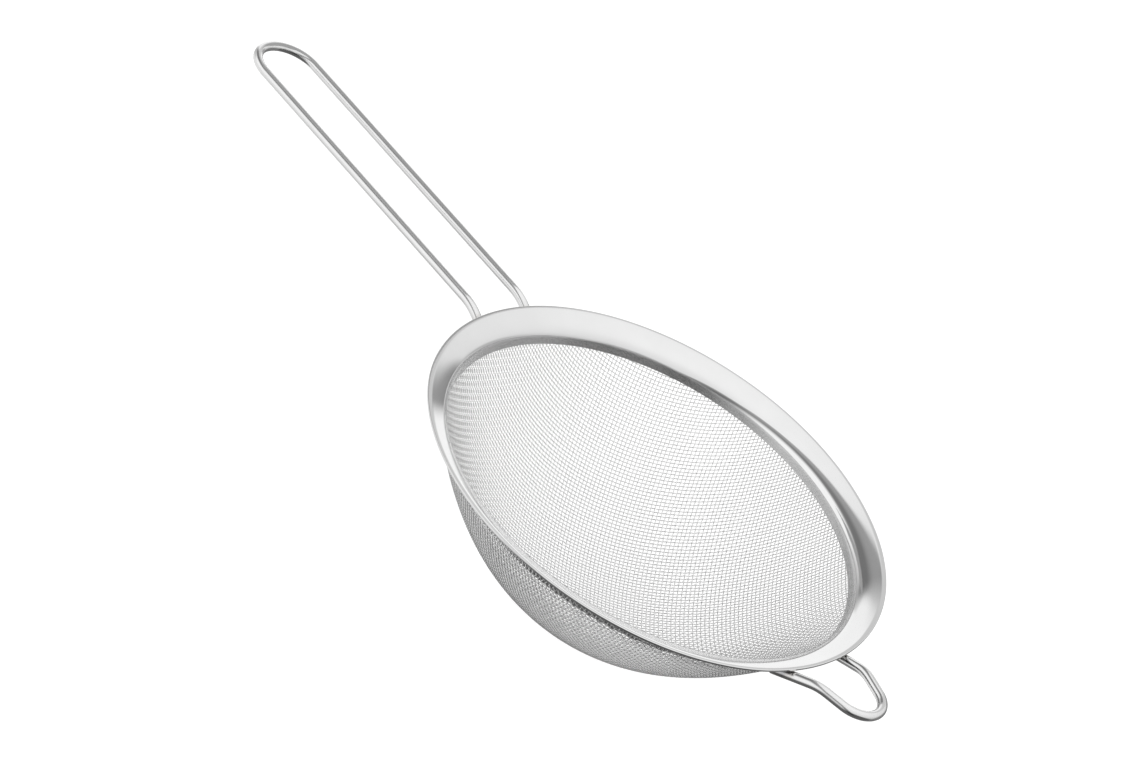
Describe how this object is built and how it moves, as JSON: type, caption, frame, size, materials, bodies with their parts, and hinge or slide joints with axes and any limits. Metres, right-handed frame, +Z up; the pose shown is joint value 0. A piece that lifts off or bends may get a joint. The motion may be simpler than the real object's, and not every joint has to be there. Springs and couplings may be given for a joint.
{
  "type": "mesh strainer",
  "caption": "Round bowl strainer of woven steel wire cloth in a pressed flanged rim, with a long wire loop handle and a short wire rest loop opposite it.",
  "frame": {"origin": "lowest point of the bowl, at the middle of its small flattened bottom, on the axis of the rim", "axes": "+Z up along the bowl's axis towards the open rim, +X towards the short rest loop, -X along the handle, +Y to the left when looking from the handle towards the rest loop"},
  "size_m": [0.3932, 0.1994, 0.0714],
  "materials": {
    "rim_sheet": "bright polished stainless sheet",
    "band_sheet": "satin stainless sheet",
    "wire_cloth": "fine plain-woven stainless wire",
    "drawn_wire": "bright drawn stainless wire",
    "weld_metal": "dull weld metal"
  },
  "bodies": {
    "root": {"rim_ring": "rim_sheet", "cloth_band": "band_sheet", "mesh_bowl": "wire_cloth", "handle_wire": "drawn_wire", "rest_loop_wire": "drawn_wire", "handle_weld_right": "weld_metal", "handle_weld_left": "weld_metal", "rest_weld_right": "weld_metal", "rest_weld_left": "weld_metal"}
  },
  "joints": []
}
